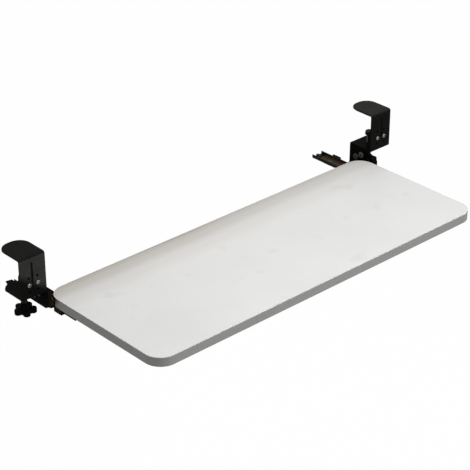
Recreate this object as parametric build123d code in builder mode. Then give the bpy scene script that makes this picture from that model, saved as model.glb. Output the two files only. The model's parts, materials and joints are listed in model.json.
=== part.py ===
from build123d import *
import os
from math import atan2, cos, degrees, radians, sin, tan

# Clamp-on keyboard tray, in millimetres.
# The origin is the middle of the desk's top front edge, where the hooks hold it.
# +X runs along the board, +Y goes back under the desk and +Z is up.
# The board is shown pulled out to its stop, and it slides back towards +Y.

# Board
board_width = 650.0
board_depth = 250.0
board_thickness = 15.0
board_corner_radius = 28.0
band_thickness = 1.0
band_edge_round = 0.5
board_below_shelf = 16.0

# Hooks
clamp_side_gap = 8.5
hook_width = 45.0
hook_thickness = 2.0
hook_height = 66.0
hook_reach = 52.5
hook_corner_radius = 20.0
hook_bend_inside = 2.0
hook_foot_round = 1.5
hook_edge_round = 0.6
hook_pad_thickness = 2.0
hook_pad_margin = 2.5
groove_width = 3.6
groove_depth = 1.2
groove_length = 35.0
groove_above_bolts = 0.0
groove_offset = 1.5

# Height holes through hook and tab
hole_rows = 3
bolt_row = 1
hole_pitch_across = 15.0
hole_pitch_up = 11.0
hole_above_foot = 10.5

# Jaw bracket
jaw_thickness = 2.5
tab_above_bolts = 16.5
shelf_below_bolts = 17.5
shelf_reach = 42.5
shelf_corner_radius = 8.0
screw_from_edge = 23.0
inner_cheek_depth = 5.1
inner_cheek_top_drop = 6.0
outer_cheek_top_drop = 2.8
outer_cheek_slope_run = 12.0
outer_cheek_height = 22.4
outer_cheek_flat = 9.5
outer_cheek_reach = 34.5
outer_cheek_nose_height = 14.5
outer_cheek_notch = 4.0
outer_cheek_notch_height = 11.3
outer_cheek_heel_reach = 35.7
outer_cheek_heel_height = 5.2
outer_cheek_foot_reach = 29.0
side_plate_drop = 34.8
side_tab_reach = 16.5
side_tab_top_drop = 6.0
side_tab_height = 12.0
side_tab_top_slope = 2.5
side_tab_slope = 20.0
window_radius = 3.8
window_from_edge = 11.0
window_drop = 13.2

# Rail hanger
hanger_thickness = 2.0
hanger_width = 36.0
hanger_top_drop = 3.0
hanger_bend_drop = 34.5
hanger_floor_inset = 2.5
base_ahead = 43.4
base_behind = 50.4
base_side_gap = 3.0
lug_length = 17.0
lug_gap = 1.6
lug_board_gap = 0.3
hanger_bolt_low_drop = 20.0
hanger_bolt_high_drop = 13.0
hanger_bolt_low_offset = 3.0
hanger_bolt_high_offset = -9.0
spare_hole_from_edge = 1.0
spare_hole_drop = 19.0

# Ball slides
channel_length = 146.0
channel_from_edge = 25.0
slide_thickness = 7.0
slide_inset = 4.0
slide_steel = 1.0
ball_radius = 1.5
ball_play = 0.05
ball_spread = 8.95
ball_height = 3.45
groove_wall_gap = 1.1
cage_steel = 0.6
cage_play = 0.2
cage_length = 50.0
balls_per_row = 5
ball_pitch = 10.0
cage_ball_play = 0.1
member_foot_above_cage = 0.3
stop_tab_thickness = 1.0
stop_tab_width = 6.0
stop_tab_height = 1.6
end_play = 0.5
member_rear_inset = 4.0
member_front_inset = 30.0
catch_width = 2.5
catch_from_middle = 3.5
catch_thickness = 1.2
catch_from_end = 4.8
cage_stop_length = 9.0
cage_stop_width = 5.0
cage_stop_height = 2.6
rail_screw_margin = 6.0

# Clamp screw, knob and pad
screw_radius = 3.95
screw_play = 0.05
screw_tip_radius = 3.0
screw_tip_length = 3.0
screw_hole_radius = 4.5
thread_nut_flats = 13.0
thread_nut_height = 6.5
pad_radius = 7.0
pad_thickness = 4.0
pad_facing_thickness = 2.0
pad_shelf_gap = 14.0
pad_edge_round = 0.6
hub_below_nut = 15.0
hub_height = 8.0
hub_top_radius = 5.5
hub_foot_radius = 9.0
star_height = 8.0
star_body_radius = 11.0
star_lobe_radius = 5.4
star_lobe_offset = 11.5
star_lobes = 5
star_edge_round = 1.2
star_valley_round = 1.4
star_turn_left = -42.6
star_turn_right = -6.6
knob_cap_radius = 4.6
knob_cap_depth = 1.0

# Fasteners
m4_radius = 1.95
m4_hole_radius = 2.25
m4_nut_flats = 7.0
m4_nut_height = 3.2
m4_head_radius = 3.3
m4_head_height = 2.2
m4_tail = 1.3
m4_socket_flats = 2.5
m4_socket_depth = 1.3
m5_radius = 2.45
m5_hole_radius = 2.75
m5_nut_flats = 8.0
m5_nut_height = 4.0
m5_head_radius = 5.5
m5_head_height = 1.8
m5_tail = 0.8
nut_play = 0.05
wood_screw_radius = 1.75
wood_screw_head_radius = 3.6
wood_screw_head_height = 2.1
wood_screw_length = 11.0
wood_screw_hole_radius = 2.1
wood_screw_end_margin = 15.0
wood_screw_count = 3
csk_head_radius = 3.7
csk_shank_radius = 1.95
csk_tail = 1.5
slot_width = 1.0
slot_depth = 0.9
head_round = 0.8

overrun = 1.0

# Levels, from the desk's top downwards
hook_under = hook_pad_thickness
hook_top = hook_under + hook_thickness
hook_foot = hook_top - hook_height
bolt_level = hook_foot + hole_above_foot + bolt_row * hole_pitch_up
tab_top = bolt_level + tab_above_bolts
shelf_top = bolt_level - shelf_below_bolts
shelf_under = shelf_top - jaw_thickness
board_top = shelf_top - board_below_shelf
board_under = board_top - board_thickness
base_top = board_under - slide_thickness
base_under = base_top - hanger_thickness
side_foot = shelf_top - side_plate_drop

# Distances from the middle, on the right
board_side = board_width / 2
hook_inner = board_side + clamp_side_gap
hook_outer = hook_inner + hook_width
clamp_x = hook_inner + hook_width / 2
side_inner = hook_inner - jaw_thickness
hanger_inner = side_inner - hanger_thickness
channel_half = ball_spread + ball_radius + ball_play + slide_steel
slide_x = board_side - slide_inset - channel_half

# Distances back from the desk's edge
tab_back = jaw_thickness
channel_front = channel_from_edge - channel_length / 2
channel_back = channel_from_edge + channel_length / 2

# Heights inside a slide, from the top of its hanger
groove_radius = ball_radius + ball_play
bulge_radius = groove_radius + slide_steel
web_top = base_top + slide_steel
ball_level = base_top + ball_height
channel_top = ball_level + bulge_radius
member_web_under = board_under - slide_steel
member_wall = ball_spread - groove_wall_gap
channel_wall = ball_spread + groove_wall_gap
cage_under = web_top + cage_play
cage_top = cage_under + cage_steel
cage_rim = ball_level + ball_radius + cage_ball_play + cage_steel
member_foot = cage_top + member_foot_above_cage

# The board's travel follows from how far a cage can roll between its stops
cage_front = channel_front + stop_tab_thickness + end_play
cage_back = cage_front + cage_length
cage_travel = channel_back - cage_stop_length - end_play - cage_back
board_travel = 2 * cage_travel

# The board stands where its catches meet the cages, and the cages meet the front tabs
catch_front = cage_back + end_play
member_back = catch_front + catch_thickness + catch_from_end
board_back = member_back + member_rear_inset
board_front = board_back - board_depth
board_middle = board_back - board_depth / 2
member_front = board_front + member_front_inset

# Clamp screw heights
thread_nut_under = shelf_under - thread_nut_height
hub_top = thread_nut_under - hub_below_nut
star_top = hub_top - hub_height
star_under = star_top - star_height
pad_under = shelf_top + pad_shelf_gap
pad_top = pad_under + pad_thickness
pad_lift = hub_below_nut - overrun


def facing_front(y):
    return Plane.XZ.offset(-y)


def facing_side(x):
    return Plane.YZ.offset(x)


def level(z):
    return Plane.XY.offset(z)


def finish(piece, name):
    piece.part.label = name
    export_step(piece.part, f"parts/{name}.step")


def finish_pair(right_piece, name):
    finish(right_piece, f"{name}_right")
    with BuildPart() as left_piece:
        mirror(right_piece.part, about=Plane.YZ)
    finish(left_piece, f"{name}_left")


def grid_rows():
    lowest = hook_foot + hole_above_foot
    return [lowest + row * hole_pitch_up for row in range(hole_rows)]


bolt_columns = [clamp_x - hole_pitch_across / 2, clamp_x + hole_pitch_across / 2]
bolt_spots = [(x, bolt_level) for x in bolt_columns]
height_holes = [(x, z) for x in bolt_columns for z in grid_rows()]

wood_screw_run = member_back - member_front - 2 * wood_screw_end_margin
wood_screw_spots = [
    member_front + wood_screw_end_margin + wood_screw_run * place / (wood_screw_count - 1)
    for place in range(wood_screw_count)
]

# Board core, with pilot holes for the slide screws
with BuildPart() as tray_board:
    with BuildSketch(level(board_under)):
        with Locations((0, board_middle)):
            RectangleRounded(
                board_width - 2 * band_thickness,
                board_depth - 2 * band_thickness,
                board_corner_radius - band_thickness,
            )
    extrude(amount=board_thickness)
    with BuildSketch(level(board_under)):
        for side in (-1, 1):
            with Locations(*[(side * slide_x, y) for y in wood_screw_spots]):
                Circle(wood_screw_radius + nut_play)
    extrude(amount=wood_screw_length, mode=Mode.SUBTRACT)
finish(tray_board, "tray_board")

# Edge band, one strip round the whole edge
with BuildPart() as tray_edge_band:
    with BuildSketch(level(board_under)):
        with Locations((0, board_middle)):
            RectangleRounded(board_width, board_depth, board_corner_radius)
            RectangleRounded(
                board_width - 2 * band_thickness,
                board_depth - 2 * band_thickness,
                board_corner_radius - band_thickness,
                mode=Mode.SUBTRACT,
            )
    extrude(amount=board_thickness)
    for rim in (tray_edge_band.faces().sort_by(Axis.Z)[0], tray_edge_band.faces().sort_by(Axis.Z)[-1]):
        fillet(rim.outer_wire().edges(), radius=band_edge_round)
finish(tray_edge_band, "tray_edge_band")

# Hook: one bent plate with a rounded tongue over the desk
with BuildPart() as upper_hook:
    with BuildSketch(facing_side(hook_inner)) as hook_profile:
        with BuildLine():
            Polyline(
                (-hook_thickness, hook_foot),
                (-hook_thickness, hook_top),
                (hook_reach, hook_top),
                (hook_reach, hook_under),
                (0, hook_under),
                (0, hook_foot),
                close=True,
            )
        make_face()
        bend_outside = hook_profile.vertices().sort_by_distance((-hook_thickness, hook_top))[0]
        fillet(bend_outside, radius=hook_bend_inside + hook_thickness)
        bend_inside = hook_profile.vertices().sort_by_distance((0, hook_under))[0]
        fillet(bend_inside, radius=hook_bend_inside)
    extrude(amount=hook_width)
    fillet(upper_hook.edges().filter_by(Axis.Z).group_by(Axis.Y)[-1], radius=hook_corner_radius)
    fillet(upper_hook.edges().filter_by(Axis.Y).group_by(Axis.Z)[0], radius=hook_foot_round)
    tongue_face = upper_hook.faces().filter_by(Axis.Z).sort_by(Axis.Z)[-1]
    show_rims = [e for e in tongue_face.edges() if e.center().Y > hook_bend_inside]
    fillet(show_rims, radius=hook_edge_round)
    groove_middle = bolt_level + groove_above_bolts + groove_length / 2
    with BuildSketch(facing_front(-hook_thickness)):
        with Locations((clamp_x + groove_offset, groove_middle)):
            SlotOverall(groove_length, groove_width, rotation=90)
    extrude(amount=-groove_depth, mode=Mode.SUBTRACT)
    with BuildSketch(facing_front(-hook_thickness)):
        with Locations(*height_holes):
            Circle(m4_hole_radius)
    extrude(amount=-(hook_thickness + overrun), mode=Mode.SUBTRACT)
finish_pair(upper_hook, "upper_hook")

# Rubber sheet under the tongue
with BuildPart() as hook_pad:
    with BuildSketch(level(0)) as pad_outline:
        with Locations((clamp_x, (hook_bend_inside + hook_reach) / 2)):
            Rectangle(hook_width - 2 * hook_pad_margin, hook_reach - hook_bend_inside - 2 * hook_pad_margin)
        fillet(
            pad_outline.vertices().group_by(Axis.Y)[-1],
            radius=hook_corner_radius - hook_pad_margin,
        )
    extrude(amount=hook_pad_thickness)
finish_pair(hook_pad, "hook_pad")

# Jaw bracket: tab behind the hook, two cheeks, shelf and hanging side plate
with BuildPart() as jaw_bracket:
    with BuildSketch(facing_front(tab_back)):
        with Locations((clamp_x, (tab_top + shelf_under) / 2)):
            Rectangle(hook_width, tab_top - shelf_under)
    extrude(amount=jaw_thickness)
    with BuildSketch(level(shelf_under)) as shelf_outline:
        with Locations((side_inner, 0)):
            Rectangle(hook_outer - side_inner, shelf_reach, align=Align.MIN)
        rear_outer = shelf_outline.vertices().group_by(Axis.Y)[-1].sort_by(Axis.X)[-1]
        fillet(rear_outer, radius=shelf_corner_radius)
    extrude(amount=jaw_thickness)
    side_tab_top = shelf_top - side_tab_top_drop
    side_tab_foot = side_tab_top - side_tab_top_slope - side_tab_height
    with BuildSketch(facing_side(side_inner)):
        with BuildLine():
            Polyline(
                (shelf_reach, shelf_top),
                (shelf_reach, side_foot),
                (side_tab_slope - side_tab_reach, side_foot),
                (-side_tab_reach, side_tab_foot),
                (-side_tab_reach, side_tab_top - side_tab_top_slope),
                (0, side_tab_top),
                (0, shelf_top),
                close=True,
            )
        make_face()
    extrude(amount=jaw_thickness)
    with BuildSketch(facing_side(hook_inner)):
        with BuildLine():
            Polyline(
                (0, shelf_under),
                (inner_cheek_depth, shelf_under),
                (inner_cheek_depth, tab_top - inner_cheek_top_drop),
                (0, tab_top),
                close=True,
            )
        make_face()
    extrude(amount=jaw_thickness)
    cheek_top = shelf_top + outer_cheek_height
    with BuildSketch(facing_side(hook_outer - jaw_thickness)):
        with BuildLine():
            Polyline(
                (0, shelf_under),
                (outer_cheek_foot_reach, shelf_under),
                (outer_cheek_reach, shelf_top),
                (outer_cheek_heel_reach, shelf_top + outer_cheek_heel_height),
                (outer_cheek_reach - outer_cheek_notch, shelf_top + outer_cheek_notch_height),
                (outer_cheek_reach, shelf_top + outer_cheek_nose_height),
                (outer_cheek_slope_run + outer_cheek_flat, cheek_top),
                (outer_cheek_slope_run, cheek_top),
                (0, tab_top - outer_cheek_top_drop),
                close=True,
            )
        make_face()
    extrude(amount=jaw_thickness)
    with BuildSketch(facing_front(tab_back)):
        with Locations(*height_holes):
            Circle(m4_hole_radius)
    extrude(amount=jaw_thickness + overrun, mode=Mode.SUBTRACT)
    with BuildSketch(level(shelf_under)):
        with Locations((clamp_x, screw_from_edge)):
            Circle(screw_hole_radius)
    extrude(amount=jaw_thickness + overrun, mode=Mode.SUBTRACT)
    hanger_bolt_spots = [
        (screw_from_edge + hanger_bolt_low_offset, shelf_top - hanger_bolt_low_drop),
        (screw_from_edge + hanger_bolt_high_offset, shelf_top - hanger_bolt_high_drop),
    ]
    spare_spot = (spare_hole_from_edge, shelf_top - spare_hole_drop)
    with BuildSketch(facing_side(side_inner)):
        with Locations(*hanger_bolt_spots, spare_spot):
            Circle(m5_hole_radius)
        with Locations((-window_from_edge, shelf_top - window_drop)):
            Circle(window_radius)
    extrude(amount=jaw_thickness, mode=Mode.SUBTRACT)
finish_pair(jaw_bracket, "jaw_bracket")

# Rail hanger: a plate bolted inside the side plate, turned in under the board's slide
slant_run = side_inner - (board_side - hanger_floor_inset)
slant_drop = shelf_top - hanger_bend_drop - base_under
slant_angle = degrees(atan2(slant_run, slant_drop))
upper_shift = hanger_thickness * tan(radians(slant_angle / 2))
lower_shift = hanger_thickness * tan(radians((90 - slant_angle) / 2))
base_inner = slide_x - channel_half + base_side_gap
base_outer = slide_x + channel_half - base_side_gap
lug_outer = slide_x + channel_half + lug_gap + hanger_thickness
base_front = screw_from_edge - base_ahead
base_back = screw_from_edge + base_behind
rail_screw_spots = [base_front + rail_screw_margin, base_back - rail_screw_margin]
with BuildPart() as rail_hanger:
    with BuildSketch(facing_front(screw_from_edge + hanger_width / 2)):
        with BuildLine():
            Polyline(
                (side_inner, shelf_top - hanger_top_drop),
                (side_inner, shelf_top - hanger_bend_drop),
                (side_inner - slant_run, base_under),
                (base_inner, base_under),
                (base_inner, base_top),
                (side_inner - slant_run - lower_shift, base_top),
                (hanger_inner, shelf_top - hanger_bend_drop + upper_shift),
                (hanger_inner, shelf_top - hanger_top_drop),
                close=True,
            )
        make_face()
    extrude(amount=hanger_width)
    with BuildSketch(level(base_under)):
        with Locations(((base_inner + base_outer) / 2, (base_front + base_back) / 2)):
            Rectangle(base_outer - base_inner, base_back - base_front)
        for middle in (base_front + lug_length / 2, base_back - lug_length / 2):
            with Locations(((base_inner + lug_outer) / 2, middle)):
                Rectangle(lug_outer - base_inner, lug_length)
    extrude(amount=hanger_thickness)
    with BuildSketch(level(base_under)):
        for middle in (base_front + lug_length / 2, base_back - lug_length / 2):
            with Locations((lug_outer - hanger_thickness / 2, middle)):
                Rectangle(hanger_thickness, lug_length)
    extrude(amount=board_under - lug_board_gap - base_under)
    with BuildSketch(facing_side(hanger_inner)):
        with Locations(*hanger_bolt_spots):
            Circle(m5_hole_radius)
    extrude(amount=hanger_thickness, mode=Mode.SUBTRACT)
    with Locations(*[(slide_x, y, base_top) for y in rail_screw_spots]):
        CounterSinkHole(
            radius=m4_hole_radius,
            counter_sink_radius=csk_head_radius - slide_steel,
            counter_sink_angle=90,
        )
finish_pair(rail_hanger, "rail_hanger")

# Fixed channel of the slide, open upwards, with its front stop tab
with BuildPart() as slide_outer:
    with BuildSketch(facing_front(channel_back)) as channel_section:
        with Locations((slide_x - ball_spread, ball_level), (slide_x + ball_spread, ball_level)):
            Circle(bulge_radius)
        with Locations((slide_x, ball_level)):
            Rectangle(2 * channel_wall, 2 * bulge_radius + overrun, mode=Mode.SUBTRACT)
        wall_height = channel_top - base_top
        for side in (-1, 1):
            wall_x = slide_x + side * (channel_wall + slide_steel / 2)
            with Locations((wall_x, base_top + wall_height / 2)):
                Rectangle(slide_steel, wall_height)
        with Locations((slide_x, base_top + slide_steel / 2)):
            Rectangle(2 * (channel_wall + slide_steel), slide_steel)
        with Locations((slide_x - ball_spread, ball_level), (slide_x + ball_spread, ball_level)):
            Circle(groove_radius, mode=Mode.SUBTRACT)
    extrude(amount=channel_length)
    with BuildSketch(level(web_top)):
        with Locations((slide_x, channel_front + stop_tab_thickness / 2)):
            Rectangle(stop_tab_width, stop_tab_thickness)
    extrude(amount=stop_tab_height)
    with Locations(*[(slide_x, y, web_top) for y in rail_screw_spots]):
        CounterSinkHole(
            radius=m4_hole_radius,
            counter_sink_radius=csk_head_radius,
            counter_sink_angle=90,
        )
finish_pair(slide_outer, "slide_outer")

# Moving member of the slide, open downwards, with the catch that meets the cage
with BuildPart() as slide_inner:
    with BuildSketch(facing_front(member_back)) as member_section:
        with Locations((slide_x - ball_spread, ball_level), (slide_x + ball_spread, ball_level)):
            Circle(bulge_radius)
        for side in (-1, 1):
            with Locations((slide_x + side * (member_wall + bulge_radius), ball_level)):
                Rectangle(2 * bulge_radius, 2 * bulge_radius + overrun, mode=Mode.SUBTRACT)
        for side in (-1, 1):
            wall_x = slide_x + side * (member_wall - slide_steel / 2)
            with Locations((wall_x, (board_under + member_foot) / 2)):
                Rectangle(slide_steel, board_under - member_foot)
        with Locations((slide_x, board_under - slide_steel / 2)):
            Rectangle(2 * member_wall, slide_steel)
        with Locations((slide_x, member_foot - bulge_radius)):
            Rectangle(2 * (ball_spread + bulge_radius), 2 * bulge_radius, mode=Mode.SUBTRACT)
        with Locations((slide_x - ball_spread, ball_level), (slide_x + ball_spread, ball_level)):
            Circle(groove_radius, mode=Mode.SUBTRACT)
    extrude(amount=member_back - member_front)
    with BuildSketch(facing_front(catch_front + catch_thickness)):
        for side in (-1, 1):
            catch_middle = slide_x + side * (catch_from_middle + catch_width / 2)
            with Locations((catch_middle, (member_web_under + cage_under) / 2)):
                Rectangle(catch_width, member_web_under - cage_under)
    extrude(amount=catch_thickness)
    with BuildSketch(level(member_web_under)):
        with Locations(*[(slide_x, y) for y in wood_screw_spots]):
            Circle(wood_screw_hole_radius)
    extrude(amount=slide_steel, mode=Mode.SUBTRACT)
finish_pair(slide_inner, "slide_inner")

# Ball cage: a thin trough whose rims hold the balls
ball_offsets = [(place - (balls_per_row - 1) / 2) * ball_pitch for place in range(balls_per_row)]
cage_middle = (cage_front + cage_back) / 2
with BuildPart() as ball_cage:
    with BuildSketch(level(cage_under)):
        with Locations((slide_x, cage_middle)):
            Rectangle(2 * ball_spread + cage_steel, cage_length)
    extrude(amount=cage_steel)
    with BuildSketch(level(cage_under)):
        for side in (-1, 1):
            with Locations((slide_x + side * ball_spread, cage_middle)):
                Rectangle(cage_steel, cage_length)
    extrude(amount=cage_rim - cage_under)
    with BuildSketch(facing_side(slide_x - ball_spread - cage_steel)):
        with Locations(*[(cage_middle + offset, ball_level) for offset in ball_offsets]):
            Circle(ball_radius + cage_ball_play)
    extrude(amount=2 * (ball_spread + cage_steel), mode=Mode.SUBTRACT)
finish_pair(ball_cage, "ball_cage")

with BuildPart() as slide_balls:
    for side in (-1, 1):
        for offset in ball_offsets:
            with Locations((slide_x + side * ball_spread, cage_middle + offset, ball_level)):
                Sphere(radius=ball_radius)
finish_pair(slide_balls, "slide_balls")

# Rubber stop at the rear end of the channel
with BuildPart() as cage_stop:
    with BuildSketch(level(web_top)):
        with Locations((slide_x, channel_back - cage_stop_length / 2)):
            Rectangle(cage_stop_width, cage_stop_length)
    extrude(amount=cage_stop_height)
    fillet(cage_stop.edges().filter_by(Axis.Z), radius=band_edge_round)
finish_pair(cage_stop, "cage_stop")

# Screws up through the moving member into the board
with BuildPart() as tray_screws:
    with BuildSketch(level(member_web_under - wood_screw_head_height)):
        with Locations(*[(slide_x, y) for y in wood_screw_spots]):
            Circle(wood_screw_head_radius)
    extrude(amount=wood_screw_head_height)
    fillet(tray_screws.faces().group_by(Axis.Z)[0].edges(), radius=head_round)
    with BuildSketch(level(member_web_under)):
        with Locations(*[(slide_x, y) for y in wood_screw_spots]):
            Circle(wood_screw_radius)
    extrude(amount=slide_steel + wood_screw_length)
    with BuildSketch(level(member_web_under - wood_screw_head_height)):
        with Locations(*[(slide_x, y) for y in wood_screw_spots]):
            Rectangle(wood_screw_head_radius, slot_width)
            Rectangle(slot_width, wood_screw_head_radius)
    extrude(amount=slot_depth, mode=Mode.SUBTRACT)
finish_pair(tray_screws, "tray_screws")

# Countersunk screws that hold the channel on its hanger, and their nuts
csk_cone_height = csk_head_radius - csk_shank_radius
rail_nut_under = base_under - m4_nut_height
with BuildPart() as rail_screws:
    for y in rail_screw_spots:
        with BuildSketch(Plane((slide_x, y, 0), x_dir=(1, 0, 0), z_dir=(0, -1, 0))):
            with BuildLine():
                Polyline(
                    (0, web_top),
                    (csk_head_radius, web_top),
                    (csk_shank_radius, web_top - csk_cone_height),
                    (csk_shank_radius, rail_nut_under - csk_tail),
                    (0, rail_nut_under - csk_tail),
                    close=True,
                )
            make_face()
        revolve(axis=Axis((slide_x, y, 0), (0, 0, 1)))
    with BuildSketch(level(web_top)):
        with Locations(*[(slide_x, y) for y in rail_screw_spots]):
            Rectangle(csk_head_radius, slot_width)
            Rectangle(slot_width, csk_head_radius)
    extrude(amount=-slot_depth, mode=Mode.SUBTRACT)
finish_pair(rail_screws, "rail_screws")

with BuildPart() as rail_nuts:
    with BuildSketch(level(rail_nut_under)):
        with Locations(*[(slide_x, y) for y in rail_screw_spots]):
            RegularPolygon(m4_nut_flats / 2, 6, major_radius=False)
            Circle(csk_shank_radius + nut_play, mode=Mode.SUBTRACT)
    extrude(amount=m4_nut_height)
finish_pair(rail_nuts, "rail_nuts")

# Bolts from the board's side through hanger and side plate, and their nuts
with BuildPart() as hanger_bolts:
    with BuildSketch(facing_side(hanger_inner - m5_head_height)):
        with Locations(*hanger_bolt_spots):
            Circle(m5_head_radius)
    extrude(amount=m5_head_height)
    fillet(hanger_bolts.faces().group_by(Axis.X)[0].edges(), radius=head_round)
    with BuildSketch(facing_side(hanger_inner)):
        with Locations(*hanger_bolt_spots):
            Circle(m5_radius)
    extrude(amount=hanger_thickness + jaw_thickness + m5_nut_height + m5_tail)
    with BuildSketch(facing_side(hanger_inner - m5_head_height)):
        with Locations(*hanger_bolt_spots):
            Rectangle(m5_head_radius, slot_width)
            Rectangle(slot_width, m5_head_radius)
    extrude(amount=slot_depth, mode=Mode.SUBTRACT)
finish_pair(hanger_bolts, "hanger_bolts")

with BuildPart() as hanger_nuts:
    with BuildSketch(facing_side(hook_inner)):
        with Locations(*hanger_bolt_spots):
            RegularPolygon(m5_nut_flats / 2, 6, major_radius=False)
            Circle(m5_radius + nut_play, mode=Mode.SUBTRACT)
    extrude(amount=m5_nut_height)
finish_pair(hanger_nuts, "hanger_nuts")

# Button-head bolts through hook and tab, and their nuts
with BuildPart() as hook_bolts:
    with BuildSketch(facing_front(-hook_thickness)):
        with Locations(*bolt_spots):
            Circle(m4_head_radius)
    extrude(amount=m4_head_height)
    fillet(hook_bolts.faces().group_by(Axis.Y)[0].edges(), radius=head_round * 2)
    with BuildSketch(facing_front(tab_back + m4_nut_height + m4_tail)):
        with Locations(*bolt_spots):
            Circle(m4_radius)
    extrude(amount=tab_back + m4_nut_height + m4_tail + hook_thickness)
    with BuildSketch(facing_front(-hook_thickness - m4_head_height)):
        with Locations(*bolt_spots):
            RegularPolygon(m4_socket_flats / 2, 6, major_radius=False)
    extrude(amount=-m4_socket_depth, mode=Mode.SUBTRACT)
finish_pair(hook_bolts, "hook_bolts")

with BuildPart() as hook_nuts:
    with BuildSketch(facing_front(tab_back + m4_nut_height)):
        with Locations(*bolt_spots):
            RegularPolygon(m4_nut_flats / 2, 6, major_radius=False)
            Circle(m4_radius + nut_play, mode=Mode.SUBTRACT)
    extrude(amount=m4_nut_height)
finish_pair(hook_nuts, "hook_nuts")

# Weld nut under the shelf
with BuildPart() as thread_nut:
    with BuildSketch(level(thread_nut_under)):
        with Locations((clamp_x, screw_from_edge)):
            RegularPolygon(thread_nut_flats / 2, 6, major_radius=False)
            Circle(screw_radius + screw_play, mode=Mode.SUBTRACT)
    extrude(amount=thread_nut_height)
finish_pair(thread_nut, "thread_nut")

# Clamp screw, with a turned-down tip that the pad swivels on
screw_foot = star_under + knob_cap_depth
with BuildPart() as clamp_screw:
    with BuildSketch(level(screw_foot)):
        with Locations((clamp_x, screw_from_edge)):
            Circle(screw_radius)
    extrude(amount=pad_under - screw_foot)
    with BuildSketch(level(pad_under)):
        with Locations((clamp_x, screw_from_edge)):
            Circle(screw_tip_radius)
    extrude(amount=screw_tip_length)
finish_pair(clamp_screw, "clamp_screw")

# Swivel pad with a blind seat for the tip, and its rubber face
with BuildPart() as pressure_pad:
    with BuildSketch(level(pad_under)):
        with Locations((clamp_x, screw_from_edge)):
            Circle(pad_radius)
    extrude(amount=pad_thickness)
    fillet(pressure_pad.faces().sort_by(Axis.Z)[0].edges(), radius=pad_edge_round)
    with BuildSketch(level(pad_under)):
        with Locations((clamp_x, screw_from_edge)):
            Circle(screw_tip_radius + screw_play)
    extrude(amount=screw_tip_length + screw_play, mode=Mode.SUBTRACT)
finish_pair(pressure_pad, "pressure_pad")

with BuildPart() as pad_facing:
    with BuildSketch(level(pad_top)):
        with Locations((clamp_x, screw_from_edge)):
            Circle(pad_radius - pad_edge_round)
    extrude(amount=pad_facing_thickness)
finish_pair(pad_facing, "pad_facing")

# Star knob, each turned as it was left
for side, side_name, turn in ((1, "right", star_turn_right), (-1, "left", star_turn_left)):
    knob_x = side * clamp_x
    with BuildPart() as star_knob:
        with BuildSketch(level(star_under)) as star_outline:
            with Locations((knob_x, screw_from_edge)):
                Circle(star_body_radius)
                with PolarLocations(star_lobe_offset, star_lobes, start_angle=turn):
                    Circle(star_lobe_radius)
            fillet(star_outline.vertices(), radius=star_valley_round)
        extrude(amount=star_height)
        fillet(star_knob.faces().sort_by(Axis.Z)[-1].edges(), radius=star_edge_round)
        fillet(star_knob.faces().sort_by(Axis.Z)[0].edges(), radius=star_edge_round)
        with Locations((knob_x, screw_from_edge, star_top)):
            Cone(
                hub_foot_radius,
                hub_top_radius,
                hub_height,
                align=(Align.CENTER, Align.CENTER, Align.MIN),
            )
        with BuildSketch(level(star_under)):
            with Locations((knob_x, screw_from_edge)):
                Circle(knob_cap_radius)
        extrude(amount=knob_cap_depth, mode=Mode.SUBTRACT)
        with BuildSketch(level(star_under)):
            with Locations((knob_x, screw_from_edge)):
                Circle(screw_radius)
        extrude(amount=star_height + hub_height + overrun, mode=Mode.SUBTRACT)
    finish(star_knob, f"star_knob_{side_name}")

print("board travel", board_travel)
print("pad lift", pad_lift)
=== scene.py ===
import json
import math

import bpy
import bmesh
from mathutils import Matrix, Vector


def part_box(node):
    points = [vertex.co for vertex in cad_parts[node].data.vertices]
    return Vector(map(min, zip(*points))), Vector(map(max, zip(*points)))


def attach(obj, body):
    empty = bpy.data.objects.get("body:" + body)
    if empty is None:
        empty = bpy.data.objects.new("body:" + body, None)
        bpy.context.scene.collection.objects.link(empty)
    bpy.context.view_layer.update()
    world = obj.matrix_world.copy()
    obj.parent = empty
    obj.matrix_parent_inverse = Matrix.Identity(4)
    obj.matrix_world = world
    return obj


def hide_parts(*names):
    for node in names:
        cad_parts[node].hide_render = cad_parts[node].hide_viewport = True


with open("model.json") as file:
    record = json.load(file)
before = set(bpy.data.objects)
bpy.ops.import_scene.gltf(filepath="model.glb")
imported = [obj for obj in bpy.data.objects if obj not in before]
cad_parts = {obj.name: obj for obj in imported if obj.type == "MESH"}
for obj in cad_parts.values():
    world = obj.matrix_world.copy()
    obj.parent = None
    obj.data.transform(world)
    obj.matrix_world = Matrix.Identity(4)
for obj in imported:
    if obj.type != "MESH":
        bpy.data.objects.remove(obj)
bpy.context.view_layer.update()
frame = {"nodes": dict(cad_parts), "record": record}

MM = 0.001
SIDES = (("left", -1), ("right", 1))
WHITE = (1.0, 1.0, 1.0)

# The values that most of a noise texture falls between
NOISE_SPAN = (0.3, 0.7)

# Places on the part that the materials follow, in metres
BOARD_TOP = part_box("tray_edge_band")[1].z
BOARD_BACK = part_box("tray_edge_band")[1].y
HOOK_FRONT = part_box("upper_hook_left")[0].y
rail_low, rail_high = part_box("slide_outer_right")
RAIL_X = (rail_low.x + rail_high.x) / 2
RAIL_BACK = rail_high.y

# Shade along the board's back edge: its depth, its waver, and how it weakens from left to right
SHADE_DEPTH = 0.075
SHADE_WAVER = 0.004
SHADE_SPAN_X = (-0.30, 0.15)
SHADE_STRENGTH = (1.0, 0.73)

# Pale rim at the top of the edge strip: heights below the board's top
RIM_START = 0.0008
RIM_FULL = 0.0002

# Painted light and shade: tone of each hook's parts as a share of its coat. The left face is painted
# light above a slanting edge and painted dark below it.
FACE_LEFT = 2.25
FACE_LEFT_LOW = 0.36
# Painted shade on the right face and in the groove; the right tongue is painted lighter than the left.
FACE_RIGHT = 0.42
GROOVE_PAINTED_SHADE = 0.6
TONGUE = (0.55, 1.35)
FACE_SLANT = 0.68
FACE_FADE = (-0.287, -0.274)
GROOVE_DEPTH = 0.0003
TURN_TO_TONGUE = (0.2, 0.95)
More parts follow.
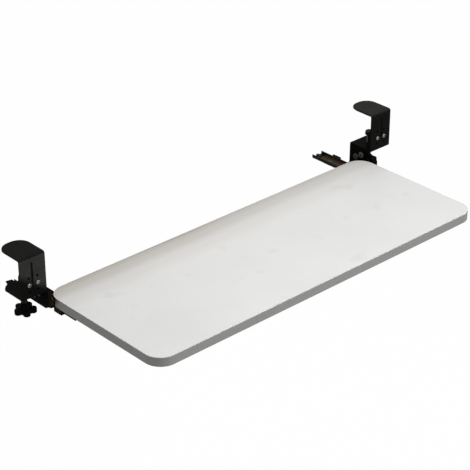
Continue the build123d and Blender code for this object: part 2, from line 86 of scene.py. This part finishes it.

# Where the jaw turns brownish ahead of the hook, and how far out a face has to look
CAST_SPAN_Y = (-0.002, -0.010)
CAST_OUTWARD = (0.1, 0.2)

# The rail's rear end is dipped black
DIP_LENGTH = 0.010
DIP_EDGE = 0.001


# Node helpers
def new_material(name):
    mat = bpy.data.materials.new(name)
    mat.use_nodes = True
    tree = mat.node_tree
    tree.nodes.clear()
    out = tree.nodes.new("ShaderNodeOutputMaterial")
    shader = tree.nodes.new("ShaderNodeBsdfPrincipled")
    tree.links.new(shader.outputs["BSDF"], out.inputs["Surface"])
    coords = tree.nodes.new("ShaderNodeTexCoord")
    return mat, tree, shader, coords


def feed(tree, value, socket):
    """Link another node's output to the socket, or set a plain number or colour on it."""
    if isinstance(value, bpy.types.NodeSocket):
        tree.links.new(value, socket)
    elif isinstance(value, tuple):
        socket.default_value = (*value, 1.0)
    else:
        socket.default_value = value


def noise(tree, coords, scale, detail, rough, stretch=None):
    tex = tree.nodes.new("ShaderNodeTexNoise")
    tex.inputs["Scale"].default_value = scale
    tex.inputs["Detail"].default_value = detail
    tex.inputs["Roughness"].default_value = rough
    source = coords.outputs["Object"]
    if stretch:
        mapping = tree.nodes.new("ShaderNodeMapping")
        mapping.inputs["Scale"].default_value = stretch
        tree.links.new(source, mapping.inputs["Vector"])
        source = mapping.outputs["Vector"]
    tree.links.new(source, tex.inputs["Vector"])
    return tex.outputs["Fac"]


def ramp(tree, source, stops, interpolation="LINEAR"):
    """Colours at rising places between 0 and 1."""
    node = tree.nodes.new("ShaderNodeValToRGB")
    tree.links.new(source, node.inputs["Fac"])
    node.color_ramp.interpolation = interpolation
    elements = node.color_ramp.elements
    elements.remove(elements[1])
    elements[0].position = stops[0][0]
    elements[0].color = (*stops[0][1], 1.0)
    for place, colour in stops[1:]:
        elements.new(place).color = (*colour, 1.0)
    return node.outputs["Color"]


def remap(tree, source, from_span, to_span=(0.0, 1.0)):
    node = tree.nodes.new("ShaderNodeMapRange")
    node.inputs["From Min"].default_value = from_span[0]
    node.inputs["From Max"].default_value = from_span[1]
    node.inputs["To Min"].default_value = to_span[0]
    node.inputs["To Max"].default_value = to_span[1]
    tree.links.new(source, node.inputs["Value"])
    return node.outputs["Result"]


def calc(tree, operation, a, b=0.0):
    node = tree.nodes.new("ShaderNodeMath")
    node.operation = operation
    feed(tree, a, node.inputs[0])
    feed(tree, b, node.inputs[1])
    return node.outputs["Value"]


def split(tree, source):
    node = tree.nodes.new("ShaderNodeSeparateXYZ")
    tree.links.new(source, node.inputs["Vector"])
    return node.outputs["X"], node.outputs["Y"], node.outputs["Z"]


def mix_value(tree, factor, a, b):
    return calc(tree, "ADD", a, calc(tree, "MULTIPLY", factor, calc(tree, "SUBTRACT", b, a)))


def mix_colour(tree, factor, a, b, mode="MIX"):
    node = tree.nodes.new("ShaderNodeMix")
    node.data_type = "RGBA"
    node.blend_type = mode
    feed(tree, factor, node.inputs[0])
    feed(tree, a, node.inputs[6])
    feed(tree, b, node.inputs[7])
    return node.outputs[2]


def multiply(tree, a, b):
    return mix_colour(tree, 1.0, a, b, "MULTIPLY")


def scale_colour(tree, colour, factor):
    node = tree.nodes.new("ShaderNodeVectorMath")
    node.operation = "SCALE"
    tree.links.new(colour, node.inputs[0])
    tree.links.new(factor, node.inputs["Scale"])
    return node.outputs["Vector"]


def edge_mask(tree, radius, span):
    """Bright where a face bends sharply within the radius, for wear on edges."""
    bevel = tree.nodes.new("ShaderNodeBevel")
    bevel.samples = 4
    bevel.inputs["Radius"].default_value = radius
    geometry = tree.nodes.new("ShaderNodeNewGeometry")
    dot = tree.nodes.new("ShaderNodeVectorMath")
    dot.operation = "DOT_PRODUCT"
    tree.links.new(bevel.outputs["Normal"], dot.inputs[0])
    tree.links.new(geometry.outputs["Normal"], dot.inputs[1])
    return remap(tree, dot.outputs["Value"], span)


def dress(tree, shader, tone, rough, bump, specular=0.5, metallic=0.0):
    """Give the shader its colour, gloss and bump. The bump is a height, a distance and a strength."""
    feed(tree, tone, shader.inputs["Base Color"])
    feed(tree, rough, shader.inputs["Roughness"])
    shader.inputs["Specular IOR Level"].default_value = specular
    shader.inputs["Metallic"].default_value = metallic
    height, distance, strength = bump
    node = tree.nodes.new("ShaderNodeBump")
    node.inputs["Distance"].default_value = distance
    node.inputs["Strength"].default_value = strength
    tree.links.new(height, node.inputs["Height"])
    tree.links.new(node.outputs["Normal"], shader.inputs["Normal"])


# Materials
def laminate():
    mat, tree, shader, coords = new_material("board_laminate")
    smudge = noise(tree, coords, scale=7.0, detail=4.0, rough=0.62)
    cloud = noise(tree, coords, scale=2.2, detail=2.0, rough=0.5)
    speck = noise(tree, coords, scale=900.0, detail=2.0, rough=0.6)
    tone = ramp(tree, smudge, [
        (0.30, (0.735, 0.733, 0.726)), (0.5, (0.760, 0.757, 0.748)), (0.75, (0.774, 0.772, 0.764))])
    tone = multiply(tree, tone, ramp(tree, cloud, [
        (0.35, (0.975, 0.982, 0.99)), (0.65, (1.0, 0.998, 0.99))]))
    tone = multiply(tree, tone, ramp(tree, speck, [(0.35, (0.97, 0.97, 0.97)), (0.6, WHITE)]))

    # Sparse faint spots, as left by fingers
    spot = noise(tree, coords, scale=30.0, detail=1.0, rough=0.4)
    tone = multiply(tree, tone, ramp(tree, spot, [(0.66, WHITE), (0.78, (0.935, 0.935, 0.94))]))

    # Warm soft shade that fades out from the back edge
    x, y, _ = split(tree, coords.outputs["Object"])
    waver = noise(tree, coords, scale=5.0, detail=1.0, rough=0.5)
    shift = remap(tree, waver, NOISE_SPAN, (-SHADE_WAVER, SHADE_WAVER))
    near_back = remap(tree, calc(tree, "ADD", y, shift), (BOARD_BACK - SHADE_DEPTH, BOARD_BACK))
    shade = ramp(tree, near_back, [
        (0.0, WHITE), (0.45, (0.917, 0.901, 0.880)), (0.8, (0.715, 0.686, 0.645)),
        (0.96, (0.61, 0.58, 0.54)), (1.0, (0.46, 0.43, 0.39))], "EASE")
    strength = remap(tree, x, SHADE_SPAN_X, SHADE_STRENGTH)
    tone = mix_colour(tree, strength, tone, multiply(tree, tone, shade))

    rough = remap(tree, smudge, NOISE_SPAN, (0.42, 0.52))
    peel = noise(tree, coords, scale=420.0, detail=3.0, rough=0.55)
    dress(tree, shader, tone, rough, (peel, 0.0002, 0.12), specular=0.15)
    return mat


def edge_strip():
    mat, tree, shader, coords = new_material("edge_strip")
    grain = noise(tree, coords, scale=1.0, detail=3.0, rough=0.6, stretch=(260.0, 260.0, 1500.0))
    streak = noise(tree, coords, scale=1.0, detail=2.0, rough=0.5, stretch=(18.0, 18.0, 900.0))
    tone = ramp(tree, grain, [(0.3, (0.305, 0.308, 0.298)), (0.7, (0.355, 0.358, 0.346))])
    tone = multiply(tree, tone, ramp(tree, streak, [(0.3, (0.93, 0.93, 0.93)), (0.7, WHITE)]))
    _, _, z = split(tree, coords.outputs["Object"])
    rim = remap(tree, z, (BOARD_TOP - RIM_START, BOARD_TOP - RIM_FULL))
    tone = mix_colour(tree, rim, tone, (0.62, 0.62, 0.61))
    dress(tree, shader, tone, 0.55, (grain, 0.0002, 0.25), specular=0.35)
    return mat


# Painted light and shade on the hooks' coat, set by side, by a slanting height and by facing.
def hook_painted_light_and_shade(tree, coords, ground):
    x, y, z = split(tree, coords.outputs["Object"])
    _, _, facing_z = split(tree, coords.outputs["Normal"])
    right = calc(tree, "GREATER_THAN", x, 0.0)
    slant = calc(tree, "ADD", z, calc(tree, "MULTIPLY", x, FACE_SLANT))
    left_face = remap(tree, slant, FACE_FADE, (FACE_LEFT_LOW, FACE_LEFT))
    face = mix_value(tree, right, left_face, FACE_RIGHT)
    # Painted shade in the groove: its face is kept dark.
    sunk = calc(tree, "GREATER_THAN", y, HOOK_FRONT + GROOVE_DEPTH)
    face = mix_value(tree, sunk, face, calc(tree, "MINIMUM", face, GROOVE_PAINTED_SHADE))
    tongue = remap(tree, right, (0.0, 1.0), TONGUE)
    upward = remap(tree, facing_z, TURN_TO_TONGUE)
    return scale_colour(tree, ground, mix_value(tree, upward, face, tongue))


def brownish_front_tint(tree, coords, ground):
    """A lighter brownish tint on the outward faces just ahead of the hook."""
    x, y, _ = split(tree, coords.outputs["Object"])
    facing_x, _, _ = split(tree, coords.outputs["Normal"])
    ahead = remap(tree, y, CAST_SPAN_Y)
    outward = remap(tree, calc(tree, "MULTIPLY", x, facing_x), CAST_OUTWARD)
    return mix_colour(tree, calc(tree, "MULTIPLY", ahead, outward), ground, (0.030, 0.018, 0.009))


def rail_grease_and_painted_light(tree, coords, ground):
    """A brown film of grease inside the rail, and the same brown painted on its upward faces as light
    from above, but not on its dipped end.
    """
    x, y, _ = split(tree, coords.outputs["Object"])
    facing_x, _, facing_z = split(tree, coords.outputs["Normal"])
    off_middle = calc(tree, "SUBTRACT", calc(tree, "ABSOLUTE", x), RAIL_X)
    outward = calc(tree, "MULTIPLY", facing_x, calc(tree, "SIGN", x))
    inside = calc(tree, "LESS_THAN", calc(tree, "MULTIPLY", off_middle, outward), -0.0001)
    # Painted light: the upward faces take the lighter brown, as if lit from above.
    upward = calc(tree, "GREATER_THAN", facing_z, 0.5)
    undipped = remap(tree, y, (RAIL_BACK - DIP_LENGTH, RAIL_BACK - DIP_LENGTH - DIP_EDGE))
    grease_and_top_light = calc(tree, "MULTIPLY", calc(tree, "MAXIMUM", inside, upward), undipped)
    return mix_colour(tree, grease_and_top_light, ground, (0.040, 0.026, 0.0155))


def powder_coat(name, dark, light, worn, rough, specular, bump=0.22, overlay=None):
    mat, tree, shader, coords = new_material(name)
    grain = noise(tree, coords, scale=1400.0, detail=3.0, rough=0.6)
    patch = noise(tree, coords, scale=60.0, detail=3.0, rough=0.55)
    tone = ramp(tree, patch, [(0.3, dark), (0.7, light)])
    if overlay:
        tone = overlay(tree, coords, tone)
    edge = edge_mask(tree, 0.0006, (0.985, 0.80))
    breakup = noise(tree, coords, scale=350.0, detail=4.0, rough=0.7)
    wear = calc(tree, "MULTIPLY", edge, remap(tree, breakup, (0.35, 0.7), (0.0, 0.75)))
    tone = mix_colour(tree, wear, tone, worn)
    gloss = remap(tree, patch, NOISE_SPAN, (rough - 0.05, rough + 0.05))
    dress(tree, shader, tone, gloss, (grain, 0.0001, bump), specular=specular)
    return mat


def bare_metal(name, dark, light, rough, bump=0.12):
    mat, tree, shader, coords = new_material(name)
    marks = noise(tree, coords, scale=1.0, detail=3.0, rough=0.6, stretch=(1500.0, 1500.0, 200.0))
    patch = noise(tree, coords, scale=180.0, detail=3.0, rough=0.6)
    tone = ramp(tree, patch, [(0.3, dark), (0.7, light)])
    gloss = remap(tree, marks, NOISE_SPAN, (rough - 0.06, rough + 0.08))
    dress(tree, shader, tone, gloss, (marks, 0.00008, bump), metallic=1.0)
    return mat


def moulded(name, dark, light, rough, specular, scale=900.0, bump=0.3):
    mat, tree, shader, coords = new_material(name)
    grain = noise(tree, coords, scale=scale, detail=3.0, rough=0.6)
    patch = noise(tree, coords, scale=90.0, detail=2.0, rough=0.5)
    tone = ramp(tree, patch, [(0.3, dark), (0.7, light)])
    gloss = remap(tree, grain, NOISE_SPAN, (rough - 0.04, rough + 0.06))
    dress(tree, shader, tone, gloss, (grain, 0.0001, bump), specular=specular)
    return mat


mats = {
    "board": laminate(),
    "edge": edge_strip(),
    # The hook coat carries painted light and shade.
    "hook_steel": powder_coat(
        "hook_coat_painted_light_and_shade", (0.014, 0.014, 0.013), (0.020, 0.020, 0.0185), (0.03, 0.03, 0.029),
        rough=0.52, specular=0.012, overlay=hook_painted_light_and_shade),
    "jaw_steel": powder_coat(
        "jaw_coat", (0.0024, 0.0024, 0.0022), (0.0046, 0.0046, 0.0042), (0.03, 0.03, 0.028),
        rough=0.5, specular=0.01, overlay=brownish_front_tint),
    # The rail coat carries a grease film inside and painted light on its upward faces.
    "slide_steel": powder_coat(
        "slide_coat", (0.0045, 0.0038, 0.0032), (0.009, 0.007, 0.0055), (0.10, 0.10, 0.098),
        rough=0.4, specular=0.05, bump=0.12, overlay=rail_grease_and_painted_light),
    "screw_steel": bare_metal("black_screw", (0.022, 0.022, 0.021), (0.038, 0.038, 0.037), 0.36),
    "knob_plastic": moulded(
        "knob_plastic", (0.0028, 0.0028, 0.0026), (0.005, 0.005, 0.0046), rough=0.5, specular=0.01),
    "bright_steel": bare_metal("bright_zinc", (0.20, 0.20, 0.193), (0.27, 0.27, 0.262), 0.34),
    "grey_steel": bare_metal("dull_zinc", (0.05, 0.05, 0.047), (0.08, 0.08, 0.076), 0.45),
    "cage_steel": bare_metal("cage_steel", (0.42, 0.41, 0.39), (0.55, 0.54, 0.52), 0.34),
    "ball_steel": bare_metal("ball_steel", (0.75, 0.75, 0.76), (0.8, 0.8, 0.81), 0.1, bump=0.03),
    "pad_rubber": moulded(
        "pad_rubber", (0.012, 0.012, 0.012), (0.018, 0.018, 0.018), rough=0.75, specular=0.3,
        scale=700.0, bump=0.45),
}

slot_of = {entry["node"]: entry["material_slot"] for entry in frame["record"]["subparts"]}
for name, obj in frame["nodes"].items():
    obj.data.materials.clear()
    obj.data.materials.append(mats[slot_of[name]])


def smooth_by_angle(obj, degrees):
    bpy.context.view_layer.objects.active = obj
    for other in bpy.context.selected_objects:
        other.select_set(False)
    obj.select_set(True)
    bpy.ops.object.shade_smooth_by_angle(angle=math.radians(degrees))
    obj.select_set(False)


def mesh_piece(name, bm, slot, body):
    data = bpy.data.meshes.new(name)
    bmesh.ops.recalc_face_normals(bm, faces=bm.faces)
    bm.to_mesh(data)
    bm.free()
    obj = bpy.data.objects.new(name, data)
    bpy.context.collection.objects.link(obj)
    data.materials.append(mats[slot])
    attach(obj, body)
    return obj


# Threaded clamp screws, in millimetres
screw_low, screw_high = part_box("clamp_screw_right")
SCREW_X = (screw_low.x + screw_high.x) / 2 / MM
SCREW_Y = (screw_low.y + screw_high.y) / 2 / MM
SCREW_FOOT = screw_low.z / MM
SCREW_TIP = screw_high.z / MM
SCREW_SHOULDER = SCREW_TIP - 3.0
SHOULDER_SLOPE = 0.05
THREAD_RADIUS = 3.95
ROOT_RADIUS = 3.3
TIP_RADIUS = 3.0
TIP_CHAMFER = 0.4
PITCH = 1.25

# Shares of one turn: the flat at the root, the flank up, the flat at the crest, the flank down
ROOT_END = 0.12
CREST_START = 0.5
CREST_END = 0.62
FLANK = 0.38

# The thread fades out over this length at both ends, from this share of its height
RUN_OUT = 1.2
RUN_OUT_SHARE = 0.15

# Points round the screw, rows of points for each turn, and the angle that stays sharp
ROUND = 40
STEPS = 10
SCREW_SHARP = 50.0
NODE_SHARP = 32.0


def thread_radius(phase):
    phase = phase % 1.0
    if phase < ROOT_END:
        return ROOT_RADIUS
    if phase < CREST_START:
        return ROOT_RADIUS + (THREAD_RADIUS - ROOT_RADIUS) * (phase - ROOT_END) / FLANK
    if phase < CREST_END:
        return THREAD_RADIUS
    return THREAD_RADIUS - (THREAD_RADIUS - ROOT_RADIUS) * (phase - CREST_END) / FLANK


def screw_rows():
    """The height of each row of points, and the radius of each point in it."""
    length = SCREW_SHOULDER - SCREW_FOOT
    count = int(length / PITCH * STEPS)
    rows = []
    for i in range(count + 1):
        z = SCREW_FOOT + length * i / count
        to_end = min(z - SCREW_FOOT, SCREW_SHOULDER - z)
        fade = min(1.0, to_end / RUN_OUT + RUN_OUT_SHARE)
        radii = []
        for j in range(ROUND):
            radius = thread_radius((z - SCREW_FOOT) / PITCH - j / ROUND)
            radii.append(ROOT_RADIUS + (radius - ROOT_RADIUS) * fade)
        rows.append((z, radii))
    rows.append((SCREW_SHOULDER + SHOULDER_SLOPE, [TIP_RADIUS] * ROUND))
    rows.append((SCREW_TIP - TIP_CHAMFER, [TIP_RADIUS] * ROUND))
    rows.append((SCREW_TIP, [TIP_RADIUS - TIP_CHAMFER] * ROUND))
    return rows


for side, sign in SIDES:
    bm = bmesh.new()
    rings = []
    for z, radii in screw_rows():
        ring = []
        for j, radius in enumerate(radii):
            angle = 2 * math.pi * j / ROUND
            ring.append(bm.verts.new((
                (sign * SCREW_X + radius * math.cos(angle)) * MM,
                (SCREW_Y + radius * math.sin(angle)) * MM,
                z * MM)))
        rings.append(ring)
    for low, high in zip(rings, rings[1:]):
        for j in range(ROUND):
            k = (j + 1) % ROUND
            bm.faces.new((low[j], low[k], high[k], high[j]))
    bm.faces.new(rings[0])
    bm.faces.new(rings[-1])
    screw = mesh_piece(f"threaded_screw_{side}", bm, "screw_steel", f"screw_{side}")
    smooth_by_angle(screw, SCREW_SHARP)
    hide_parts(f"clamp_screw_{side}")

for obj in frame["nodes"].values():
    smooth_by_angle(obj, NODE_SHARP)


# Background
FLOOR_Z = -0.72
FLOOR_REACH = 14.0
FLOOR_GREY = (0.9, 0.9, 0.9)

# Share of the floor's own white where it is seen. The rest of it takes the shadow.
FLOOR_GLOW = 0.985

# Strength of the white world where it lights the part, and where it is seen
WORLD_FILL = 0.30
WORLD_SEEN = 1.0


def seen_rays(tree):
    """1 for the rays that show the background, in the picture, in gloss or through glass."""
    rays = tree.nodes.new("ShaderNodeLightPath")
    mirrored = calc(tree, "MAXIMUM", rays.outputs["Is Glossy Ray"], rays.outputs["Is Transmission Ray"])
    return calc(tree, "MAXIMUM", rays.outputs["Is Camera Ray"], mirrored)


def plain_shader(tree, kind, colour, strength=None):
    node = tree.nodes.new(kind)
    node.inputs["Color"].default_value = (*colour, 1.0)
    if strength is not None:
        node.inputs["Strength"].default_value = strength
    return node.outputs[0]


def mix_surface(tree, output_kind, factor, a, b):
    out = tree.nodes.new(output_kind)
    mixer = tree.nodes.new("ShaderNodeMixShader")
    tree.links.new(factor, mixer.inputs[0])
    tree.links.new(a, mixer.inputs[1])
    tree.links.new(b, mixer.inputs[2])
    tree.links.new(mixer.outputs["Shader"], out.inputs["Surface"])


mat = bpy.data.materials.new("floor_pale")
mat.use_nodes = True
tree = mat.node_tree
tree.nodes.clear()
mix_surface(
    tree, "ShaderNodeOutputMaterial", calc(tree, "MULTIPLY", seen_rays(tree), FLOOR_GLOW),
    plain_shader(tree, "ShaderNodeBsdfDiffuse", FLOOR_GREY),
    plain_shader(tree, "ShaderNodeEmission", WHITE, 1.0))

floor_data = bpy.data.meshes.new("floor")
bm = bmesh.new()
bmesh.ops.create_grid(bm, x_segments=1, y_segments=1, size=FLOOR_REACH)
bm.to_mesh(floor_data)
bm.free()
floor_data.materials.append(mat)
floor = bpy.data.objects.new("floor", floor_data)
floor.location = (0.0, 0.0, FLOOR_Z)
bpy.context.collection.objects.link(floor)

world = bpy.data.worlds.new("world")
bpy.context.scene.world = world
world.use_nodes = True
tree = world.node_tree
tree.nodes.clear()
mix_surface(
    tree, "ShaderNodeOutputWorld", seen_rays(tree),
    plain_shader(tree, "ShaderNodeBackground", WHITE, WORLD_FILL),
    plain_shader(tree, "ShaderNodeBackground", WHITE, WORLD_SEEN))


# Lights
def area_light(name, place, target, size, power, spread=180.0):
    data = bpy.data.lights.new(name, "AREA")
    data.shape = "SQUARE"
    data.size = size
    data.energy = power
    data.spread = math.radians(spread)
    obj = bpy.data.objects.new(name, data)
    bpy.context.collection.objects.link(obj)
    obj.location = place
    aim = Vector(target) - Vector(place)
    obj.rotation_euler = aim.to_track_quat("-Z", "Y").to_euler()


area_light("key", (0.7, -1.6, 1.45), (0.02, -0.42, -0.07), size=0.6, power=4.1, spread=70.0)
area_light("top", (0.1, -0.3, 2.4), (0.0, -0.1, -0.07), size=1.8, power=28.0)

# Camera, fitted to the board's outline in the photograph: angles in degrees, lens in millimetres
CAMERA_PLACE = (-1.539, -1.709, 1.164)
CAMERA_DOWN = 28.70
CAMERA_TO_RIGHT = 42.57
CAMERA_LENS = 129.7
SENSOR_WIDTH = 36.0

camera_data = bpy.data.cameras.new("camera")
camera_data.lens = CAMERA_LENS
camera_data.sensor_width = SENSOR_WIDTH
camera_data.sensor_fit = "HORIZONTAL"
camera_data.clip_end = 100.0
camera = bpy.data.objects.new("camera", camera_data)
bpy.context.collection.objects.link(camera)
camera.location = CAMERA_PLACE
camera.rotation_euler = (math.radians(90.0 - CAMERA_DOWN), 0.0, math.radians(-CAMERA_TO_RIGHT))
bpy.context.scene.camera = camera

scene = bpy.context.scene
scene.view_settings.view_transform = "Standard"
